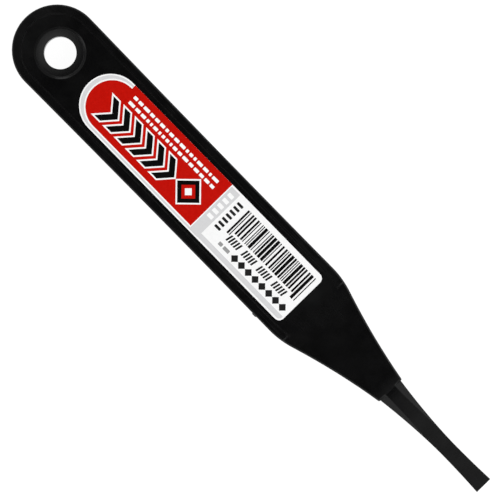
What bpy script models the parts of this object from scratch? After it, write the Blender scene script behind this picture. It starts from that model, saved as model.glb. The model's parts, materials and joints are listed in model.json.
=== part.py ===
"""A plastic scraper: a moulded handle that tapers into a narrow blade, and the adhesive label on its face.

All lengths are metres. The handle's round end is at -X, the blade's edge is at +X, and the labelled face
looks up. The origin is on the surface that the tool lies on, under the middle of its length and width.
"""

import math

import bmesh
import bpy

# Handle outline, with places along it counted from its round end
END_RADIUS = 0.01215
GRIP_LENGTH = 0.1092
WAIST_TO_SHOULDER = 0.0289
WAIST_HALF_WIDTH = 0.01184
SHOULDER_HALF_WIDTH = 0.01192
SHOULDER_BLEND = 0.004
TAPER_LENGTH = 0.0302
TAPER_END_HALF_WIDTH = 0.00425
TAPER_HOLLOW = 0.00064
TAPER_CORNER = 0.0004
INNER_CORNER = 0.0001

# Handle section, the same above and below the parting plane
FACE_THICKNESS = 0.005
EDGE_ROUND = 0.0005
RIM_HEIGHT = 0.0005
RIM_CREST_WIDTH = 0.0022
RIM_SLOPE_RUN = 0.00035
RIM_PAST_SHOULDER = 0.0004
RIM_END_RUN = 0.0005

# Hanging hole, and the collar round it that rises to the level of the rim
HOLE_FROM_END = 0.01324
HOLE_RADIUS = 0.00436
HOLE_EDGE_ROUND = 0.0002
COLLAR_SLOPE_WIDTH = 0.00199
COLLAR_CREST_RUN = 0.00022
COLLAR_WALL_RUN = 0.00045
COLLAR_CREST_DROP = 0.0002
COLLAR_LIP_DROP = 0.00044

# Blade, with places along it counted from the end of the handle
BLADE_LENGTH = 0.0356
BLADE_ROOT_HALF_WIDTH = 0.0038
BLADE_WAIST_FROM_ROOT = 0.0221
BLADE_WAIST_HALF_WIDTH = 0.00215
BLADE_EDGE_HALF_WIDTH = 0.0025
BLADE_ROOT_DEPTH = 0.002
BLADE_UNDER_FACE = 0.00001
BLADE_EDGE_THICKNESS = 0.0009
BLADE_LEVEL_LENGTH = 0.0016
BLADE_BEND_LENGTH = 0.0085
BLADE_CHAMFER = 0.00012
FACET_LENGTH = 0.0158
FACET_ROOT_FLAT_HALF_WIDTH = 0.00168
FACET_TILT = math.radians(14.5)

# Mark that the mould's gate left on one edge, on the parting plane
GATE_TO_SHOULDER = 0.0097
GATE_LENGTH = 0.0016
GATE_THICKNESS = 0.001
GATE_PROUD = 0.00025
GATE_ROOT = 0.001

# Adhesive label
LABEL_FROM_COLLAR = 0.00401
LABEL_TO_SHOULDER = 0.00357
LABEL_SIDE_CLEARANCE = 0.00083
LABEL_OFF_CENTRE = 0.00017
LABEL_CORNER = 0.0016
LABEL_THICKNESS = 0.00015
ADHESIVE_GAP = 0.0001

# Fineness of the curves
END_ARC_STEPS = 16
GRIP_STEPS = 9
SHOULDER_STEPS = 4
TAPER_STEPS = 8
CORNER_STEPS = 7
EDGE_STEPS = 7
SLOPE_STEPS = 10
HOLE_STEPS = 64
COLLAR_STEPS = 3
COLLAR_SLOPE_STEPS = 4
FACET_STEPS = 10
WEDGE_STEPS = 16
LABEL_ARC_STEPS = 16

# How the curves of the blade and of the collar's slope run
FLANK_POWER = 1.75
FLARE_POWER = 2
FACET_POWER = 2
COLLAR_SLOPE_POWER = 1.12

# The span that an outline's slope is read over, the cutter's overrun, and the angle of a sharp edge
SLOPE_SPAN = 0.00001
OVERRUN = 0.001
SHARP_ANGLE = math.radians(13.5)

HALF_FACE = FACE_THICKNESS / 2
HALF_OVERALL = HALF_FACE + RIM_HEIGHT
HANDLE_LENGTH = GRIP_LENGTH + TAPER_LENGTH
OVERALL_LENGTH = HANDLE_LENGTH + BLADE_LENGTH
RIM_WIDTH = RIM_CREST_WIDTH + RIM_SLOPE_RUN
RIM_END = GRIP_LENGTH + RIM_PAST_SHOULDER
CREST_RADIUS = HOLE_RADIUS + COLLAR_SLOPE_WIDTH
WALL_RADIUS = CREST_RADIUS + COLLAR_CREST_RUN
COLLAR_RADIUS = WALL_RADIUS + COLLAR_WALL_RUN
LIP_LEVEL = HALF_OVERALL - COLLAR_LIP_DROP
HALF_ROOT = HALF_FACE - BLADE_UNDER_FACE
HALF_EDGE = BLADE_EDGE_THICKNESS / 2


def mix(start, end, share):
    return start + (end - start) * share


def clamp(share):
    return min(max(share, 0), 1)


def shares(steps):
    """Evenly spread shares from 0 to 1, both ends included."""
    return [step / steps for step in range(steps + 1)]


def smooth(share):
    """A share that leaves 0 and reaches 1 gently."""
    return (1 - math.cos(math.pi * clamp(share))) / 2


def spread(stops, steps):
    """Stations from the first stop to the last, with so many steps between each stop and the next."""
    stations = [stops[0]]
    for start, end, count in zip(stops, stops[1:], steps):
        stations += [mix(start, end, share) for share in shares(count)[1:]]
    return stations


def turn(centre, radius, start, end, steps):
    """Points on an arc about a centre, from one angle to another, both ends included."""
    angles = [mix(start, end, share) for share in shares(steps)]
    return [(centre[0] + radius * math.cos(angle), centre[1] + radius * math.sin(angle)) for angle in angles]


def grip_half_width(x):
    """Half the grip's width, drawn in to a waist and out again to the shoulder."""
    waist = GRIP_LENGTH - WAIST_TO_SHOULDER
    if x < waist:
        return mix(WAIST_HALF_WIDTH, END_RADIUS, ((waist - x) / (waist - END_RADIUS)) ** 2)
    return mix(WAIST_HALF_WIDTH, SHOULDER_HALF_WIDTH, ((x - waist) / WAIST_TO_SHOULDER) ** 2)


def taper_half_width(x):
    """Half the taper's width, on a straight line from shoulder to end that a parabola hollows."""
    share = (x - GRIP_LENGTH) / TAPER_LENGTH
    return mix(SHOULDER_HALF_WIDTH, TAPER_END_HALF_WIDTH, share) - 4 * TAPER_HOLLOW * share * (1 - share)


def half_width(x):
    """Half the handle's width, with the corner between grip and taper blended."""
    start = GRIP_LENGTH - SHOULDER_BLEND
    end = GRIP_LENGTH + SHOULDER_BLEND
    if x <= start:
        return grip_half_width(x)
    if x >= end:
        return taper_half_width(x)
    share = (x - start) / (end - start)
    towards = mix(grip_half_width(start), SHOULDER_HALF_WIDTH, share)
    onwards = mix(SHOULDER_HALF_WIDTH, taper_half_width(end), share)
    return mix(towards, onwards, share)


def side(x, inset):
    """A point of the handle's side, moved in square to the outline but kept at its station."""
    rise = half_width(x + SLOPE_SPAN) - half_width(x - SLOPE_SPAN)
    return x, half_width(x) - inset * math.hypot(1, rise / (SLOPE_SPAN * 2))


def taper_corner(inset, radius):
    """Points round the corner between the taper's side and the handle's end."""
    end = HANDLE_LENGTH - inset
    start = side(end - radius, inset)
    corner = side(end, inset)
    points = []
    for share in shares(CORNER_STEPS)[1:]:
        towards = (mix(start[0], corner[0], share), mix(start[1], corner[1], share))
        onwards = (end, corner[1] - radius * share)
        points.append((mix(towards[0], onwards[0], share), mix(towards[1], onwards[1], share)))
    return points


def handle_outline(inset):
    """The handle's outline from above, moved in by an inset, as a closed loop of points."""
    arc = turn((END_RADIUS, 0), END_RADIUS - inset, math.pi, math.pi / 2, END_ARC_STEPS)
    corner_radius = max(TAPER_CORNER - inset, INNER_CORNER)
    stops = (
        END_RADIUS,
        GRIP_LENGTH - SHOULDER_BLEND,
        RIM_END,
        RIM_END + RIM_END_RUN,
        GRIP_LENGTH + SHOULDER_BLEND,
        HANDLE_LENGTH - inset - corner_radius,
    )
    stations = spread(stops, (GRIP_STEPS, SHOULDER_STEPS, 1, SHOULDER_STEPS, TAPER_STEPS))
    upper = arc[:-1] + [side(x, inset) for x in stations] + taper_corner(inset, corner_radius)
    return upper + [(x, -y) for x, y in reversed(upper[1:])]


def rim_share(x):
    """1 where the rim stands, falling to 0 over the short slope that ends it past the shoulder."""
    return clamp((RIM_END + RIM_END_RUN - x) / RIM_END_RUN)


def handle_loop(inset, level, lift):
    """One loop of the handle's skin at a level, lifted by up to the rim's height where the rim stands."""
    rise = RIM_HEIGHT * lift
    return [(x, y, level + rise * rim_share(x)) for x, y in handle_outline(inset)]


def handle_loops():
    """Loops from the middle of the lower face, out round the edge, and back in over the upper face."""
    upper = []
    for share in shares(EDGE_STEPS):
        angle = share * math.pi / 2
        inset = EDGE_ROUND * (1 - math.cos(angle))
        upper.append(handle_loop(inset, HALF_FACE - EDGE_ROUND * (1 - math.sin(angle)), 1))
    for share in shares(SLOPE_STEPS):
        inset = mix(RIM_CREST_WIDTH, RIM_WIDTH, share)
        upper.append(handle_loop(inset, HALF_FACE, 1 - smooth(share)))
    return mirrored(upper)


def mirrored(upper):
    """Loops of the upper half, with their mirror images below put before them."""
    lower = [[(x, y, -z) for x, y, z in loop] for loop in reversed(upper)]
    return lower + upper


def ring(radius, level):
    """A loop of points round the hole's axis."""
    angles = [math.tau * step / HOLE_STEPS for step in range(HOLE_STEPS)]
    return [(HOLE_FROM_END + radius * math.cos(angle), radius * math.sin(angle), level) for angle in angles]


def collar_loops():
    """The collar: a wall up from the face, a rounded crest, then a slope that steepens to the hole's lip."""
    upper = [ring(COLLAR_RADIUS, HALF_FACE)]
    for share in shares(COLLAR_STEPS):
        angle = share * math.pi / 2
        radius = CREST_RADIUS + COLLAR_CREST_RUN * math.cos(angle)
        upper.append(ring(radius, HALF_OVERALL - COLLAR_CREST_DROP * (1 - math.sin(angle))))
    for share in shares(COLLAR_SLOPE_STEPS)[1:]:
        drop = COLLAR_LIP_DROP * share**COLLAR_SLOPE_POWER
        upper.append(ring(mix(CREST_RADIUS, HOLE_RADIUS, share), HALF_OVERALL - drop))
    return mirrored(upper)


def hole_loops():
    """The hole's cutter, flared at both ends to round the hole's edges."""
    upper = []
    for share in shares(EDGE_STEPS):
        angle = share * math.pi / 2
        radius = HOLE_RADIUS + HOLE_EDGE_ROUND * (1 - math.cos(angle))
        upper.append(ring(radius, LIP_LEVEL - HOLE_EDGE_ROUND * (1 - math.sin(angle))))
    upper.append(ring(HOLE_RADIUS + HOLE_EDGE_ROUND, HALF_OVERALL + OVERRUN))
    return mirrored(upper)


def blade_half_width(x):
    """Half the blade's width: flanks that sweep in to the waist, then a slight flare to the edge."""
    if x < BLADE_WAIST_FROM_ROOT:
        share = clamp((BLADE_WAIST_FROM_ROOT - x) / BLADE_WAIST_FROM_ROOT)
        return mix(BLADE_WAIST_HALF_WIDTH, BLADE_ROOT_HALF_WIDTH, share**FLANK_POWER)
    share = (x - BLADE_WAIST_FROM_ROOT) / (BLADE_LENGTH - BLADE_WAIST_FROM_ROOT)
    return mix(BLADE_WAIST_HALF_WIDTH, BLADE_EDGE_HALF_WIDTH, share**FLARE_POWER)


def blade_half_thickness(x):
    """Half the blade's thickness: level at the root, then a bend, then a straight wedge to the edge."""
    straight = BLADE_LENGTH - BLADE_LEVEL_LENGTH - BLADE_BEND_LENGTH
    fall = (HALF_ROOT - HALF_EDGE) / (straight + BLADE_BEND_LENGTH / 2)
    past = max(x - BLADE_LEVEL_LENGTH, 0)
    if past < BLADE_BEND_LENGTH:
        return HALF_ROOT - fall * past**2 / (BLADE_BEND_LENGTH * 2)
    return HALF_ROOT - fall * (past - BLADE_BEND_LENGTH / 2)


def blade_section(x):
    """The blade's section at a station: flats above and below, and facets from them to the side lands."""
    width = blade_half_width(x)
    top = blade_half_thickness(x)
    flat = width - BLADE_CHAMFER
    share = clamp(x / FACET_LENGTH)
    if share < 1:
        end = blade_half_width(FACET_LENGTH) - BLADE_CHAMFER
        flat = mix(FACET_ROOT_FLAT_HALF_WIDTH, end, share**FACET_POWER)
    land = top - max((width - flat) * math.tan(FACET_TILT), BLADE_CHAMFER)
    return [(width, land), (flat, top), (-flat, top), (-width, land)]


def blade_loops():
    """Sections along the blade, from inside the handle to the working edge."""
    stops = (-BLADE_ROOT_DEPTH, 0, FACET_LENGTH, BLADE_LENGTH)
    loops = []
    for x in spread(stops, (1, FACET_STEPS, WEDGE_STEPS)):
        upper = [(HANDLE_LENGTH + x, y, z) for y, z in blade_section(x)]
        loops.append(upper + [(x, y, -z) for x, y, z in reversed(upper)])
    return loops


def gate_loops():
    """The gate's mark: a low block that stands out of the edge."""
    centre = GRIP_LENGTH - GATE_TO_SHOULDER
    edge = half_width(centre)
    loops = []
    for y, margin in ((edge - GATE_ROOT, 0), (edge, 0), (edge + GATE_PROUD, GATE_PROUD)):
        length = GATE_LENGTH / 2 - margin
        height = GATE_THICKNESS / 2 - margin
        corners = ((-length, -height), (length, -height), (length, height), (-length, height))
        loops.append([(centre + x, -y, z) for x, z in corners])
    return loops


def label_outline():
    """The label from above: one end round like the handle's, and rounded corners at the other."""
    start = HOLE_FROM_END + COLLAR_RADIUS + LABEL_FROM_COLLAR
    end = GRIP_LENGTH - LABEL_TO_SHOULDER
    half = WAIST_HALF_WIDTH - RIM_WIDTH - LABEL_SIDE_CLEARANCE
    corner = (end - LABEL_CORNER, half - LABEL_CORNER)
    upper = turn((start + half, 0), half, math.pi, math.pi / 2, LABEL_ARC_STEPS)
    upper += turn(corner, LABEL_CORNER, math.pi / 2, 0, CORNER_STEPS)
    points = upper + [(x, -y) for x, y in reversed(upper[1:])]
    return [(x, y - LABEL_OFF_CENTRE) for x, y in points]


def label_loops():
    """The label's film, held off the handle's face by its adhesive."""
    under = HALF_FACE + ADHESIVE_GAP
    levels = (under, under + LABEL_THICKNESS)
    return [[(x, y, level) for x, y in label_outline()] for level in levels]


def clear_scene():
    for old in list(bpy.data.objects):
        bpy.data.objects.remove(old)


def make_material(name, colour, roughness):
    """A plain plastic surface."""
    material = bpy.data.materials.new(name)
    material.use_nodes = True
    shader = material.node_tree.nodes["Principled BSDF"]
    shader.inputs["Base Color"].default_value = (*colour, 1)
    shader.inputs["Roughness"].default_value = roughness
    shader.inputs["Metallic"].default_value = 0
    return material


def moulded_plastic():
    return make_material("moulded_plastic", (0.012, 0.012, 0.013), 0.42)


def printed_film():
    return make_material("printed_film", (0.6, 0.02, 0.01), 0.3)


def skinned(name, loops, material):
    """A closed solid skinned over loops of equally many points, with a flat cap on the first and last."""
    mesh = bpy.data.meshes.new(name)
    bm = bmesh.new()
    rings = [[bm.verts.new(point) for point in loop] for loop in loops]
    for lower, upper in zip(rings, rings[1:]):
        for here, vertex in enumerate(lower):
            there = (here + 1) % len(lower)
            bm.faces.new((vertex, lower[there], upper[there], upper[here]))
    bm.faces.new(rings[0])
    bm.faces.new(rings[-1])
    bmesh.ops.recalc_face_normals(bm, faces=bm.faces)
    bm.to_mesh(mesh)
    bm.free()
    mesh.materials.append(material)
    solid = bpy.data.objects.new(name, mesh)
    solid.location = (-OVERALL_LENGTH / 2, 0, HALF_OVERALL)
    bpy.context.scene.collection.objects.link(solid)
    return solid


def combine(target, other, operation):
    """Joins another solid to a target, or cuts it out of the target, and removes the other."""
    modifier = target.modifiers.new(other.name, "BOOLEAN")
    modifier.operation = operation
    modifier.solver = "EXACT"
    modifier.object = other
    graph = bpy.context.evaluated_depsgraph_get()
    separate = target.data
    target.data = bpy.data.meshes.new_from_object(target.evaluated_get(graph))
    target.data.name = target.name
    target.modifiers.clear()
    bpy.data.objects.remove(other)
    bpy.data.meshes.remove(separate)


def shade(solid):
    """Smooth shading between the sharp edges."""
    solid.data.shade_smooth()
    solid.data.set_sharp_from_angle(angle=SHARP_ANGLE)


def build_body():
    """The one moulding: handle with its rims, the collar and its hole, the gate's mark and the blade."""
    plastic = moulded_plastic()
    body = skinned("scraper_body", handle_loops(), plastic)
    combine(body, skinned("collar_form", collar_loops(), plastic), "UNION")
    combine(body, skinned("blade_form", blade_loops(), plastic), "UNION")
    combine(body, skinned("gate_form", gate_loops(), plastic), "UNION")
    combine(body, skinned("hole_form", hole_loops(), plastic), "DIFFERENCE")
    shade(body)


def build_label():
    label = skinned("label", label_loops(), printed_film())
    shade(label)


def main():
    clear_scene()
    build_body()
    build_label()


main()
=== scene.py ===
"""The plastic scraper's looks: the moulding's finish, and the label built up from its film and its inks.

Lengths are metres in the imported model's frame: +X towards the blade's edge, +Z up out of the labelled face.
"""

import json
import math
import random

import bmesh
import bpy
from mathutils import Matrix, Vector


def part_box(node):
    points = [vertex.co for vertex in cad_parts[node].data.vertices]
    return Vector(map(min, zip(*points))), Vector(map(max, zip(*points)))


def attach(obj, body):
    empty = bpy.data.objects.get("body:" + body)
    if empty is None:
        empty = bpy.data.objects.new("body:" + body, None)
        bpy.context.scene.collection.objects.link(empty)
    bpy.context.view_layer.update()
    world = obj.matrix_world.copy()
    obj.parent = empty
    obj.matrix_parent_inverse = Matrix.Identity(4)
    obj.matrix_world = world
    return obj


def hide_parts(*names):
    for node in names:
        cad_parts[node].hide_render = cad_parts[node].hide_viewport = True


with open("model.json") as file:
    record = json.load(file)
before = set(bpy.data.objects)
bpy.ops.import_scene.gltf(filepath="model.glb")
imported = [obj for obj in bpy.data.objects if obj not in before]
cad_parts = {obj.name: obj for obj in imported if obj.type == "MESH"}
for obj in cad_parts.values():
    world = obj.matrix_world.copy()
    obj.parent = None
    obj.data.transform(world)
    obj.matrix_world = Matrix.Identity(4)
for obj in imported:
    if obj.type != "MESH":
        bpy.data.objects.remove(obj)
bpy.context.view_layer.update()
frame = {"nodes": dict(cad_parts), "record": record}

# The photograph: a square frame, looked at from straight above
PHOTO_SIDE = 500
METRES_PER_PIXEL = 0.00026742
HOLE_PIXEL = (59.95, 53.75)
AXIS_TILT = math.radians(45.62)
AXIS_RAISE = 0.0002
LENS = 400
SENSOR = 36

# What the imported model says
BODY = "root"
BODY_LOW, BODY_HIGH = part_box("scraper_body")
LABEL_LOW, LABEL_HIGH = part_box("label")
HOLE_LOW, HOLE_HIGH = (Vector(corner) for corner in frame["record"]["physics"]["openings"][0]["box_m"])
HOLE = (HOLE_LOW + HOLE_HIGH) / 2
MIDDLE_LEVEL = (BODY_LOW.z + BODY_HIGH.z) / 2
LABEL_LENGTH = LABEL_HIGH.x - LABEL_LOW.x
LABEL_HALF = (LABEL_HIGH.y - LABEL_LOW.y) / 2
LABEL_AXIS = (LABEL_HIGH.y + LABEL_LOW.y) / 2

# How the moulding's mesh is shaded: smooth up to a sharp angle, which is lower on the blade
BLADE_LENGTH = 0.0356
BLADE_START = BODY_HIGH.x - BLADE_LENGTH
SHARP_ANGLE = math.radians(22)
BLADE_SHARP_ANGLE = math.radians(8)
MERGE_DISTANCE = 0.000001
FLAT_FACE_WEIGHT = 90

# Moulded plastic: two tones in soft patches, and a roughness that follows them
PLASTIC_SPECULAR = 0.25
PLASTIC_DARK = (0.0016, 0.0016, 0.0017)
PLASTIC_PALE = (0.0024, 0.0024, 0.0025)
PLASTIC_SMOOTHEST = 0.22
PLASTIC_ROUGHEST = 0.26
TONE_SCALE = 260

# Where most of a noise's values lie
NOISE_LOW = 0.3
NOISE_HIGH = 0.7

# What is added to the plastic's roughness: all over the blade, at the root, and where a hand wears it
BLADE_ROUGHER = 0.1
BLADE_FADE = 0.003
ROOT_ROUGHER = 0.11
ROOT_REACH = 0.0035
HANDLED_ROUGHER = 0.078
HANDLED_SPREAD = 0.3
HANDLED_SCALE = 120
THUMB_FROM_END = 0.103
THUMB_SIDE = 0.003
THUMB_REACH = 0.016
END_REACH = 0.016

# Scuffs, long and thin, most of them on the rims' crests, where their noise is above a level
SCUFF_ROUGHER = 0.06
SCUFF_STRETCH = (70, 2400, 2400)
SCUFF_START = 0.56
SCUFF_FULL = 0.7
SCUFF_ELSEWHERE = 0.2
CREST_DEPTH = 0.00012

# Relief of the plastic: grain, scuffs, and the mould's parting line
GRAIN_SCALE = 3500
GRAIN_DEPTH = 0.000014
SCUFF_DEPTH = 0.000001
PARTING_DEPTH = 0.00002
PARTING_HALF_WIDTH = 0.00006

# Film and inks: colour and its deeper tone in the mottle, gloss, and the film's waviness
FILM_WHITE = ((0.98, 0.98, 0.98), (0.95, 0.95, 0.95))
INK_GREY = ((0.7, 0.7, 0.71), (0.67, 0.67, 0.68))
INK_RED = ((0.56, 0.0065, 0.0028), (0.5, 0.005, 0.002))
INK_BLACK = ((0.0022, 0.0022, 0.0022), (0.0035, 0.0035, 0.0035))
INK_DARK = ((0.012, 0.012, 0.012), (0.02, 0.02, 0.02))
INK_PALE = ((0.3, 0.3, 0.3), (0.36, 0.36, 0.36))
PRINT_SPECULAR = 0.3
PRINT_SMOOTHEST = 0.18
PRINT_ROUGHEST = 0.22
MOTTLE_SCALE = 1500
GLOSS_SCALE = 450
FINE_SCALE = 4000
FINE_DEPTH = 0.0000008
WAVE_SCALE = 200
WAVE_DEPTH = 0.000005

# Label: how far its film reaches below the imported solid, its corners, and how thick a layer of ink lies
FILM_SEAT = 0.00009
FILM_CORNER = 0.0016
INK = 0.000006
ARC_STEPS = 32
CORNER_STEPS = 6

# Label zones. Places along the label are counted from its round end, and across it from its middle.
RED_START = 0.00186
RED_END = 0.04628
RED_BOTTOM = -0.00718
BORDER_END = 0.00925
BORDER_INNER_LINE = 0.0004
BORDER_OUTER_LINE = 0.00038
BAND_START = 0.04658
BAND_END = 0.04975
BAND_TOP = 0.00795
STRIP_TOP = -0.0066
STRIP_BOTTOM = -0.00796
STRIP_END_MARGIN = 0.0005

# Motifs on the red field
CHEVRON_COUNT = 6
CHEVRON_START = 0.0072
CHEVRON_PITCH = 0.00432
CHEVRON_LEVEL = -0.0013
CHEVRON_HALF = 0.0036
CHEVRON_REACH = 0.0031
CHEVRON_STROKE = 0.00215
DIAMOND_CENTRE = (0.0394, -0.0013)
DIAMOND_HALF = 0.0042
DIAMOND_BAND = 0.0016
DIAMOND_HEART = 0.0013
OUTLINE = 0.00042
LINE_LEVELS = (0.0061, 0.0042)
LINE_START = 0.0112
LINE_END = 0.0438
LINE_HALF = 0.00045
BLOCK_SHORTEST = 0.0007
BLOCK_LONGEST = 0.0021
BLOCK_GAP = 0.0005

# Marks on the grey band
BAND_MARKS = 5
BAND_MARK_LENGTH = 0.0011
BAND_MARK_PITCH = 0.0019
BAND_MARK_HALF = 0.0009
BAND_MARK_START = -0.0022

# Bar pattern, slanted strokes, diamonds, blocks and a column of marks on the white panel
BARS_START = 0.0542
BARS_END = 0.0799
BARS_TOP = 0.0068
BARS_BOTTOM = -0.0003
BAR_MODULE = 0.00029
BAR_WIDTHS = (1, 2, 2, 3)
BAR_GAPS = (1, 1, 2)
END_BAR_DROP = 0.0013
STROKE_MARGIN = 0.0012
STROKE_LEVEL = -0.0021
STROKE_HALF = 0.00105
STROKE_WIDTH = 0.00055
STROKE_SLANT = 0.00045
STROKE_PITCH = 0.0009
STROKES_IN_GROUP = 5
STROKE_GAP = 0.0012
BOTTOM_LEVEL = -0.00495
SMALL_HALF = 0.0005
SMALL_START = 0.0548
SMALL_END = 0.0592
BOLD_START = 0.0608
BOLD_PITCH = 0.0026
BOLD_HALF = 0.00125
COLUMN_LEFT = 0.0507
COLUMN_RIGHT = 0.0527
COLUMN_TOP = 0.0064
COLUMN_PITCH = 0.0014
COLUMN_STROKE = 0.00075
COLUMN_MARKS = 7
PRINT_CORNER = 0.00018
PRINT_SEED = 11

# Studio: a light tent with a dark opening overhead, a brighter side, and darkness again near the floor.
# Bearings over the floor and leans from straight up are in degrees.
OPENING_BEARING = 180
OPENING_LEAN = 8
OPENING_CORE = 14
OPENING_RADIUS = 41
OPENING_LIGHT = 0.005
TENT_LIGHT = 1.98
TENT_FOOT = 40
HORIZON = 70
HORIZON_SHARE = 0.1
BRIGHT_BEARING = 0
BRIGHT_SHARE = 0.11

# Two soft lamps, each with its bearing, its lean and its radiance
LAMPS = (("lamp_near", -45, 62, 1.3), ("lamp_far", 80, 62, 1.0))
LAMP_DISTANCE = 0.8
LAMP_SIZE = 0.4

# Floor: its tone for the light that it throws on the tool, and its tone and glow where it is seen
FLOOR_SIZE = 6
FLOOR_ROUGHNESS = 0.9
FLOOR_TONE = 0.8
FLOOR_SEEN = 0.17
FLOOR_GLOW = 0.935


def arc(centre, radius, start, end, steps):
    """Points on an arc in degrees about a centre, both ends included."""
    angles = [math.radians(start + (end - start) * step / steps) for step in range(steps + 1)]
    return [(centre[0] + radius * math.cos(angle), centre[1] + radius * math.sin(angle)) for angle in angles]


def rounded_box(left, bottom, right, top, radius):
    """A rectangle's outline with round corners, anticlockwise."""
    corners = (
        (left + radius, bottom + radius, 180),
        (right - radius, bottom + radius, 270),
        (right - radius, top - radius, 0),
        (left + radius, top - radius, 90),
    )
    turns = [arc((u, v), radius, start, start + 90, CORNER_STEPS) for u, v, start in corners]
    return [point for turn in turns for point in turn]


def diamond(centre, half):
    """A square on its corner, anticlockwise."""
    u, v = centre
    return [(u - half, v), (u, v - half), (u + half, v), (u, v + half)]


def chevron(tip, level, half, reach, stroke):
    """A chevron that points towards the blade, anticlockwise from its lower back corner."""
    back = tip - reach
    return [
        (back - stroke, level - half),
        (back, level - half),
        (tip, level),
        (back, level + half),
        (back - stroke, level + half),
        (tip - stroke, level),
    ]


def grown(points, margin):
    """A closed anticlockwise outline moved outwards by a margin, with mitred corners."""
    result = []
    for here, point in enumerate(points):
        before = (Vector(point) - Vector(points[here - 1])).normalized()
        after = (Vector(points[(here + 1) % len(points)]) - Vector(point)).normalized()
        out = Vector((before.y + after.y, -before.x - after.x)).normalized()
        result.append(tuple(Vector(point) + out * (margin / out.dot(Vector((after.y, -after.x))))))
    return result


def film_outline():
    """The film: one end round, and rounded corners at the other."""
    points = arc((LABEL_HALF, 0), LABEL_HALF, 90, 270, ARC_STEPS)
    end = LABEL_LENGTH - FILM_CORNER
    level = LABEL_HALF - FILM_CORNER
    points += arc((end, -level), FILM_CORNER, 270, 360, CORNER_STEPS)
    return points + arc((end, level), FILM_CORNER, 0, 90, CORNER_STEPS)


def red_outline():
    """The red field: round inside the border, and out to the film's upper edge where the border stops."""
    points = arc((RED_START - RED_BOTTOM, 0), -RED_BOTTOM, 90, 270, ARC_STEPS)
    top = LABEL_HALF - INK
    return points + [(RED_END, RED_BOTTOM), (RED_END, top), (BORDER_END, top), (BORDER_END, -RED_BOTTOM)]


def border_outline():
    """The grey border: round the end and along under the red field, between two white lines."""
    outer = LABEL_HALF - BORDER_OUTER_LINE
    inner = -RED_BOTTOM + BORDER_INNER_LINE
    centre = RED_START - RED_BOTTOM
    points = [(BORDER_END, outer)] + arc((LABEL_HALF, 0), outer, 90, 270, ARC_STEPS)
    points += [(BAND_START, -outer), (BAND_START, -inner)]
    return points + arc((centre, 0), inner, 270, 90, ARC_STEPS) + [(BORDER_END, inner)]


def band_outline():
    """The grey band beyond the red field, and the strip that turns off it under the white panel."""
    outer = LABEL_HALF - BORDER_OUTER_LINE
    end = LABEL_LENGTH - STRIP_END_MARGIN
    corner = FILM_CORNER - STRIP_END_MARGIN
    points = [(BAND_START, -outer), (BAND_END, -outer), (BAND_END, STRIP_BOTTOM)]
    points += arc((end - corner, STRIP_BOTTOM + corner), corner, 270, 360, CORNER_STEPS)
    return points + [(end, STRIP_TOP), (BAND_END, STRIP_TOP), (BAND_END, BAND_TOP), (BAND_START, BAND_TOP)]


def chevrons():
    """The row of chevrons along the red field."""
    first = CHEVRON_START + CHEVRON_STROKE + CHEVRON_REACH
    tips = [first + CHEVRON_PITCH * index for index in range(CHEVRON_COUNT)]
    return [chevron(tip, CHEVRON_LEVEL, CHEVRON_HALF, CHEVRON_REACH, CHEVRON_STROKE) for tip in tips]


def blocks(rng, start, end, level, half):
    """A line of plain blocks: lengths drawn at random, with even gaps."""
    outlines = []
    while start < end - BLOCK_SHORTEST:
        length = min(rng.uniform(BLOCK_SHORTEST, BLOCK_LONGEST), end - start)
        outlines.append(rounded_box(start, level - half, start + length, level + half, PRINT_CORNER))
        start += length + BLOCK_GAP
    return outlines


def band_marks():
    """A row of plain marks along the grey band."""
    middle = (BAND_START + BAND_END) / 2
    left = middle - BAND_MARK_HALF
    right = middle + BAND_MARK_HALF
    lows = [BAND_MARK_START + BAND_MARK_PITCH * index for index in range(BAND_MARKS)]
    return [rounded_box(left, low, right, low + BAND_MARK_LENGTH, PRINT_CORNER) for low in lows]


def bars(rng):
    """Bars and gaps of widths drawn at random, in modules, with two longer bars at either end."""
    places = []
    place = BARS_START
    while place < BARS_END - BAR_MODULE * max(BAR_WIDTHS):
        width = rng.choice(BAR_WIDTHS) * BAR_MODULE
        places.append((place, place + width))
        place += width + rng.choice(BAR_GAPS) * BAR_MODULE
    places.append((BARS_END - BAR_MODULE, BARS_END))
    longer = (0, 1, len(places) - 2, len(places) - 1)
    outlines = []
    for index, (left, right) in enumerate(places):
        bottom = BARS_BOTTOM - END_BAR_DROP if index in longer else BARS_BOTTOM
        outlines.append([(left, bottom), (right, bottom), (right, BARS_TOP), (left, BARS_TOP)])
    return outlines


def strokes():
    """A row of thin slanted strokes in even groups."""
    outlines = []
    place = BARS_START + STROKE_MARGIN
    low = STROKE_LEVEL - STROKE_HALF
    high = STROKE_LEVEL + STROKE_HALF
    while place < BARS_END - STROKE_PITCH * STROKES_IN_GROUP:
        for index in range(STROKES_IN_GROUP):
            foot = place + STROKE_PITCH * index
            head = foot + STROKE_SLANT
            right_foot = foot + STROKE_WIDTH
            right_head = head + STROKE_WIDTH
            outlines.append([(foot, low), (right_foot, low), (right_head, high), (head, high)])
        place += STROKE_PITCH * STROKES_IN_GROUP + STROKE_GAP
    return outlines


def small_diamonds():
    """A row of small diamonds along the panel's bottom."""
    count = int((BARS_END - BOLD_START) / BOLD_PITCH) + 1
    return [diamond((BOLD_START + BOLD_PITCH * index, BOTTOM_LEVEL), BOLD_HALF) for index in range(count)]


def column():
    """A column of plain marks at the panel's start."""
    tops = [COLUMN_TOP - COLUMN_PITCH * index for index in range(COLUMN_MARKS)]
    return [rounded_box(COLUMN_LEFT, top - COLUMN_STROKE, COLUMN_RIGHT, top, PRINT_CORNER) for top in tops]


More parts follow.
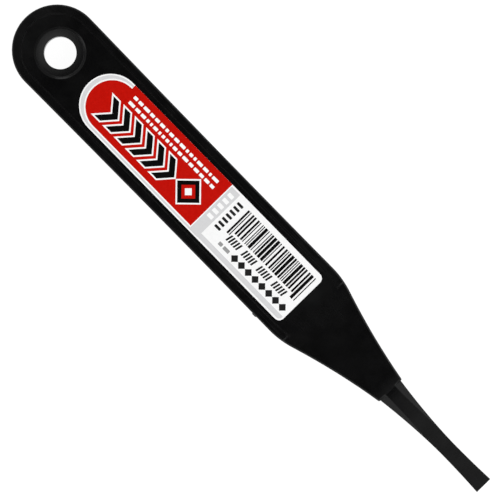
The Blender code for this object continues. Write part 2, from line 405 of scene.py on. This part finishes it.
class Tree:
    """A tree of shader nodes, added and linked with few words."""

    def __init__(self, tree):
        self.nodes = tree.nodes
        self.links = tree.links

    def node(self, kind, **properties):
        made = self.nodes.new("ShaderNode" + kind)
        for key, value in properties.items():
            setattr(made, key, value)
        return made

    def maths(self, operation, *values):
        """What an operation makes of numbers and sources."""
        made = self.node("Math", operation=operation)
        for socket, value in zip(made.inputs, values):
            if isinstance(value, (int, float)):
                socket.default_value = value
            else:
                self.links.new(value, socket)
        return made.outputs["Value"]

    def total(self, first, *others):
        """The sum of some sources."""
        for other in others:
            first = self.maths("ADD", first, other)
        return first

    def vector_maths(self, operation, source, vector):
        """A number from a vector source and a fixed vector."""
        made = self.node("VectorMath", operation=operation)
        self.links.new(source, made.inputs[0])
        made.inputs[1].default_value = vector
        return made.outputs["Value"]

    def span(self, source, low, high, start=NOISE_LOW, end=NOISE_HIGH, shape="LINEAR"):
        """The source, with start to end turned into low to high and nothing beyond them."""
        made = self.node("MapRange", interpolation_type=shape)
        self.links.new(source, made.inputs["Value"])
        for socket, value in zip(("From Min", "From Max", "To Min", "To Max"), (start, end, low, high)):
            made.inputs[socket].default_value = value
        return made.outputs["Result"]


class Shader(Tree):
    """A material's nodes, and what feeds its Principled BSDF."""

    def __init__(self, name):
        self.material = bpy.data.materials.new(name)
        self.material.use_nodes = True
        super().__init__(self.material.node_tree)
        self.principled = self.nodes["Principled BSDF"]

    def set(self, **values):
        for key, value in values.items():
            self.principled.inputs[key.replace("_", " ")].default_value = value

    def feed(self, socket, source):
        self.links.new(source, self.principled.inputs[socket])

    def coordinates(self):
        """The object's own coordinates, as one vector."""
        return self.node("TexCoord").outputs["Object"]

    def axes(self):
        """The object's own coordinates X, Y and Z, each by itself."""
        made = self.node("SeparateXYZ")
        self.links.new(self.coordinates(), made.inputs["Vector"])
        return made.outputs

    def noise(self, scale, detail=2, stretch=None):
        made = self.node("TexNoise")
        made.inputs["Scale"].default_value = scale
        made.inputs["Detail"].default_value = detail
        source = self.coordinates()
        if stretch:
            mapping = self.node("Mapping")
            mapping.inputs["Scale"].default_value = stretch
            self.links.new(source, mapping.inputs["Vector"])
            source = mapping.outputs["Vector"]
        self.links.new(source, made.inputs["Vector"])
        return made.outputs["Fac"]

    def blend(self, share, first, second):
        """A colour between two, by a share."""
        made = self.node("Mix", data_type="RGBA")
        self.links.new(share, made.inputs["Factor"])
        made.inputs["A"].default_value = (*first, 1)
        made.inputs["B"].default_value = (*second, 1)
        return made.outputs["Result"]

    def bump(self, height, distance, under=None):
        """Relief of a depth, over another bump or none."""
        made = self.node("Bump")
        made.inputs["Distance"].default_value = distance
        self.links.new(height, made.inputs["Height"])
        if under:
            self.links.new(under, made.inputs["Normal"])
        return made.outputs["Normal"]


def wear(shader, along):
    """What the blade's finish, the root and a hand's wear add to the plastic's roughness."""
    blade = shader.span(along, 0, BLADE_ROUGHER, BLADE_START, BLADE_START + BLADE_FADE)
    before_blade = shader.maths("LESS_THAN", along, BLADE_START)
    near_blade = shader.span(along, 0, ROOT_ROUGHER, BLADE_START - ROOT_REACH, BLADE_START)
    root = shader.maths("MULTIPLY", near_blade, before_blade)

    thumb_place = (BODY_LOW.x + THUMB_FROM_END, THUMB_SIDE, BODY_HIGH.z)
    off_thumb = shader.vector_maths("DISTANCE", shader.coordinates(), thumb_place)
    thumb = shader.span(off_thumb, 1, 0, 0, THUMB_REACH)
    end = shader.span(along, 1, 0, BODY_LOW.x, BODY_LOW.x + END_REACH)
    least = HANDLED_ROUGHER * (1 - HANDLED_SPREAD)
    most = HANDLED_ROUGHER * (1 + HANDLED_SPREAD)
    patches = shader.span(shader.noise(HANDLED_SCALE), least, most)
    handled = shader.maths("MULTIPLY", shader.maths("MAXIMUM", thumb, end), patches)
    return shader.total(blade, root, handled)


def moulded_plastic():
    """Black plastic: two soft tones, a fine grain, scuffed crests, duller places, and a parting line."""
    shader = Shader("moulded_plastic")
    shader.set(Specular_IOR_Level=PLASTIC_SPECULAR)
    axes = shader.axes()
    off_middle = shader.maths("ABSOLUTE", shader.maths("SUBTRACT", axes["Z"], MIDDLE_LEVEL))
    top = BODY_HIGH.z - MIDDLE_LEVEL
    crest = shader.span(off_middle, SCUFF_ELSEWHERE, 1, top - CREST_DEPTH, top)
    scuff_noise = shader.noise(scale=1, detail=4, stretch=SCUFF_STRETCH)
    scuffs = shader.maths("MULTIPLY", shader.span(scuff_noise, 0, 1, SCUFF_START, SCUFF_FULL), crest)
    tone = shader.noise(TONE_SCALE, detail=3)

    shader.feed("Base Color", shader.blend(shader.span(tone, 0, 1), PLASTIC_DARK, PLASTIC_PALE))
    rough = shader.span(tone, PLASTIC_SMOOTHEST, PLASTIC_ROUGHEST)
    scuffed = shader.maths("MULTIPLY", scuffs, SCUFF_ROUGHER)
    shader.feed("Roughness", shader.total(rough, scuffed, wear(shader, axes["X"])))
    grain = shader.bump(shader.noise(GRAIN_SCALE, detail=3), GRAIN_DEPTH)
    scratches = shader.bump(scuffs, SCUFF_DEPTH, grain)
    parting = shader.span(off_middle, 1, 0, 0, PARTING_HALF_WIDTH)
    shader.feed("Normal", shader.bump(parting, PARTING_DEPTH, scratches))
    return shader.material


def printed(name, tones):
    """A gloss film or ink of two close tones, with the print's faint mottle and a slight waviness."""
    shader = Shader(name)
    shader.set(Specular_IOR_Level=PRINT_SPECULAR)
    mottle = shader.span(shader.noise(MOTTLE_SCALE, detail=3), 0, 1)
    shader.feed("Base Color", shader.blend(mottle, *tones))
    shader.feed("Roughness", shader.span(shader.noise(GLOSS_SCALE), PRINT_SMOOTHEST, PRINT_ROUGHEST))
    fine = shader.bump(shader.noise(FINE_SCALE), FINE_DEPTH)
    shader.feed("Normal", shader.bump(shader.noise(WAVE_SCALE, detail=1), WAVE_DEPTH, fine))
    return shader.material


def smoothing_nodes():
    """Nodes that join split corners and shade the mesh smooth up to a sharp angle, lower on the blade."""
    tree = bpy.data.node_groups.new("smooth_by_angle", "GeometryNodeTree")
    tree.interface.new_socket("Geometry", in_out="INPUT", socket_type="NodeSocketGeometry")
    tree.interface.new_socket("Geometry", in_out="OUTPUT", socket_type="NodeSocketGeometry")
    merge = tree.nodes.new("GeometryNodeMergeByDistance")
    merge.inputs["Distance"].default_value = MERGE_DISTANCE
    faces = tree.nodes.new("GeometryNodeSetShadeSmooth")
    edges = tree.nodes.new("GeometryNodeSetShadeSmooth")
    edges.domain = "EDGE"
    edges.inputs["Shade Smooth"].default_value = False
    angle = tree.nodes.new("GeometryNodeInputMeshEdgeAngle")
    axes = tree.nodes.new("ShaderNodeSeparateXYZ")
    tree.links.new(tree.nodes.new("GeometryNodeInputPosition").outputs["Position"], axes.inputs["Vector"])
    on_blade = tree.nodes.new("FunctionNodeCompare")
    on_blade.inputs["B"].default_value = BLADE_START
    tree.links.new(axes.outputs["X"], on_blade.inputs["A"])
    limit = tree.nodes.new("GeometryNodeSwitch")
    limit.input_type = "FLOAT"
    limit.inputs["False"].default_value = SHARP_ANGLE
    limit.inputs["True"].default_value = BLADE_SHARP_ANGLE
    tree.links.new(on_blade.outputs["Result"], limit.inputs["Switch"])
    sharp = tree.nodes.new("FunctionNodeCompare")
    tree.links.new(angle.outputs["Unsigned Angle"], sharp.inputs["A"])
    tree.links.new(limit.outputs["Output"], sharp.inputs["B"])
    tree.links.new(sharp.outputs["Result"], edges.inputs["Selection"])
    chain = (tree.nodes.new("NodeGroupInput"), merge, faces, edges, tree.nodes.new("NodeGroupOutput"))
    for before, after in zip(chain, chain[1:]):
        tree.links.new(before.outputs["Geometry"], after.inputs["Geometry"])
    return tree


def dress_body():
    """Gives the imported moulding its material, and smooth shading between its sharp edges."""
    body = frame["nodes"]["scraper_body"]
    body.data.materials.clear()
    body.data.materials.append(moulded_plastic())
    if body.data.attributes.get("custom_normal"):
        body.data.attributes.remove(body.data.attributes["custom_normal"])
    body.data.shade_smooth()
    body.modifiers.new("smooth_by_angle", "NODES").node_group = smoothing_nodes()
    flats = body.modifiers.new("flat_faces", "WEIGHTED_NORMAL")
    flats.keep_sharp = True
    flats.weight = FLAT_FACE_WEIGHT


def piece(name, outlines, low, high, material):
    """One piece of flat slabs, each standing on an outline given in the label's own places."""
    bm = bmesh.new()
    for outline in outlines:
        base = [bm.verts.new((LABEL_LOW.x + u, LABEL_AXIS + v, low)) for u, v in outline]
        cap = [bm.verts.new((vertex.co.x, vertex.co.y, high)) for vertex in base]
        bm.faces.new(base)
        bm.faces.new(cap)
        for here, vertex in enumerate(base):
            there = (here + 1) % len(base)
            bm.faces.new((vertex, base[there], cap[there], cap[here]))
    bmesh.ops.recalc_face_normals(bm, faces=bm.faces)
    mesh = bpy.data.meshes.new(name)
    bm.to_mesh(mesh)
    bm.free()
    mesh.materials.append(material)
    made = bpy.data.objects.new(name, mesh)
    bpy.context.scene.collection.objects.link(made)
    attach(made, BODY)
    return made


def ink(name, outlines, material, layer=1):
    """Ink printed on the film, in its layer from the film upwards."""
    level = LABEL_HIGH.z + INK * (layer - 1)
    return piece("label_" + name, outlines, level, level + INK, material)


def build_label():
    """The label: its film, the zones of colour, the motifs on the red, and the print on the panel."""
    white = printed("film_white", FILM_WHITE)
    grey = printed("ink_grey", INK_GREY)
    red = printed("ink_red", INK_RED)
    black = printed("ink_black", INK_BLACK)
    dark = printed("ink_dark", INK_DARK)
    pale = printed("ink_pale", INK_PALE)
    rng = random.Random(PRINT_SEED)

    film = piece("label_film", [film_outline()], LABEL_LOW.z - FILM_SEAT, LABEL_HIGH.z, white)
    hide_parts("label")
    ink("border", [border_outline()], grey)
    ink("band", [band_outline()], grey)
    ink("red_field", [red_outline()], red)

    motifs = chevrons() + [diamond(DIAMOND_CENTRE, DIAMOND_HALF)]
    ink("motif_outlines", [grown(motif, OUTLINE) for motif in motifs], white, 2)
    ink("motifs", motifs, black, 3)
    ink("motif_ring", [diamond(DIAMOND_CENTRE, DIAMOND_HALF - DIAMOND_BAND)], red, 4)
    ink("motif_heart", [diamond(DIAMOND_CENTRE, DIAMOND_HEART)], white, 5)
    lines = [block for level in LINE_LEVELS for block in blocks(rng, LINE_START, LINE_END, level, LINE_HALF)]
    ink("red_field_lines", lines, white, 2)
    ink("band_marks", band_marks(), white, 2)

    ink("bars", bars(rng), black)
    ink("panel_print", column() + strokes() + small_diamonds(), dark)
    ink("panel_small_print", blocks(rng, SMALL_START, SMALL_END, BOTTOM_LEVEL, SMALL_HALF), pale)


def look_from_above():
    """The camera over the middle of the photograph, turned so that the tool lies as it does there."""
    right = Vector((math.cos(AXIS_TILT), math.sin(AXIS_TILT), 0))
    up = Vector((-math.sin(AXIS_TILT), math.cos(AXIS_TILT), 0))
    across = (PHOTO_SIDE / 2 - HOLE_PIXEL[0]) * METRES_PER_PIXEL
    down = (PHOTO_SIDE / 2 - HOLE_PIXEL[1]) * METRES_PER_PIXEL
    distance = PHOTO_SIDE * METRES_PER_PIXEL * LENS / SENSOR
    data = bpy.data.cameras.new("camera")
    data.lens = LENS
    data.sensor_width = SENSOR
    data.clip_end = distance * 2
    camera = bpy.data.objects.new("camera", data)
    camera.location = Vector((HOLE.x, -AXIS_RAISE, MIDDLE_LEVEL + distance)) + right * across - up * down
    camera.rotation_euler = (0, 0, AXIS_TILT)
    bpy.context.scene.collection.objects.link(camera)
    bpy.context.scene.camera = camera


def aim(bearing, lean):
    """A direction, from its bearing over the floor and its lean from straight up, in degrees."""
    lean = math.radians(lean)
    bearing = math.radians(bearing)
    return Vector((math.cos(bearing) * math.sin(lean), math.sin(bearing) * math.sin(lean), math.cos(lean)))


def soft_lamp(name, direction, radiance):
    """A large soft square lamp aimed at the tool, as bright all over as its radiance says."""
    data = bpy.data.lights.new(name, "AREA")
    data.shape = "SQUARE"
    data.size = LAMP_SIZE
    data.energy = radiance * math.pi * LAMP_SIZE**2
    lamp = bpy.data.objects.new(name, data)
    lamp.location = direction * LAMP_DISTANCE
    lamp.rotation_euler = direction.to_track_quat("Z", "Y").to_euler()
    bpy.context.scene.collection.objects.link(lamp)


def surroundings():
    """The light tent, as the world's brightness by direction. The camera sees plain white."""
    world = bpy.data.worlds.new("studio")
    bpy.context.scene.world = world
    world.use_nodes = True
    tree = Tree(world.node_tree)
    directions = tree.node("TexCoord").outputs["Generated"]

    def towards(direction):
        """The cosine of the angle off a direction."""
        return tree.vector_maths("DOT_PRODUCT", directions, direction)

    def by_lean(source, near, far, near_value, far_value):
        """One value up to a lean off a direction, another past a second lean, and a soft change between."""
        start = math.cos(math.radians(far))
        end = math.cos(math.radians(near))
        return tree.span(source, far_value, near_value, start, end, "SMOOTHSTEP")

    opening = towards(aim(OPENING_BEARING, OPENING_LEAN))
    tent = by_lean(opening, OPENING_CORE, OPENING_RADIUS, OPENING_LIGHT, TENT_LIGHT)
    foot = by_lean(towards(aim(0, 0)), TENT_FOOT, HORIZON, 1, HORIZON_SHARE)
    brighter = tree.maths("MULTIPLY", towards(aim(BRIGHT_BEARING, 90)), BRIGHT_SHARE)
    side = tree.maths("ADD", brighter, 1)
    light = tree.maths("MULTIPLY", tree.maths("MULTIPLY", tent, foot), side)
    seen = tree.node("LightPath").outputs["Is Camera Ray"]
    strength = tree.maths("MAXIMUM", tree.maths("MULTIPLY", light, tree.maths("SUBTRACT", 1, seen)), seen)
    background = tree.nodes["Background"]
    tree.links.new(strength, background.inputs["Strength"])
    background.inputs["Color"].default_value = (1, 1, 1, 1)


def floor():
    """The pale floor: it lights the tool from below, shows white, and keeps the tool's soft shadow."""
    bpy.ops.mesh.primitive_plane_add(size=FLOOR_SIZE)
    plane = bpy.context.object
    plane.name = "floor"
    shader = Shader("floor")
    shader.set(Roughness=FLOOR_ROUGHNESS, Emission_Color=(1, 1, 1, 1))
    path = shader.node("LightPath").outputs
    seen = shader.maths("MAXIMUM", path["Is Camera Ray"], path["Is Glossy Ray"])
    shader.feed("Base Color", shader.blend(seen, (FLOOR_TONE,) * 3, (FLOOR_SEEN,) * 3))
    shader.feed("Emission Strength", shader.maths("MULTIPLY", seen, FLOOR_GLOW))
    plane.data.materials.append(shader.material)


look_from_above()
dress_body()
build_label()
floor()
surroundings()
for name, bearing, lean, radiance in LAMPS:
    soft_lamp(name, aim(bearing, lean), radiance)
bpy.context.scene.view_settings.view_transform = "Standard"
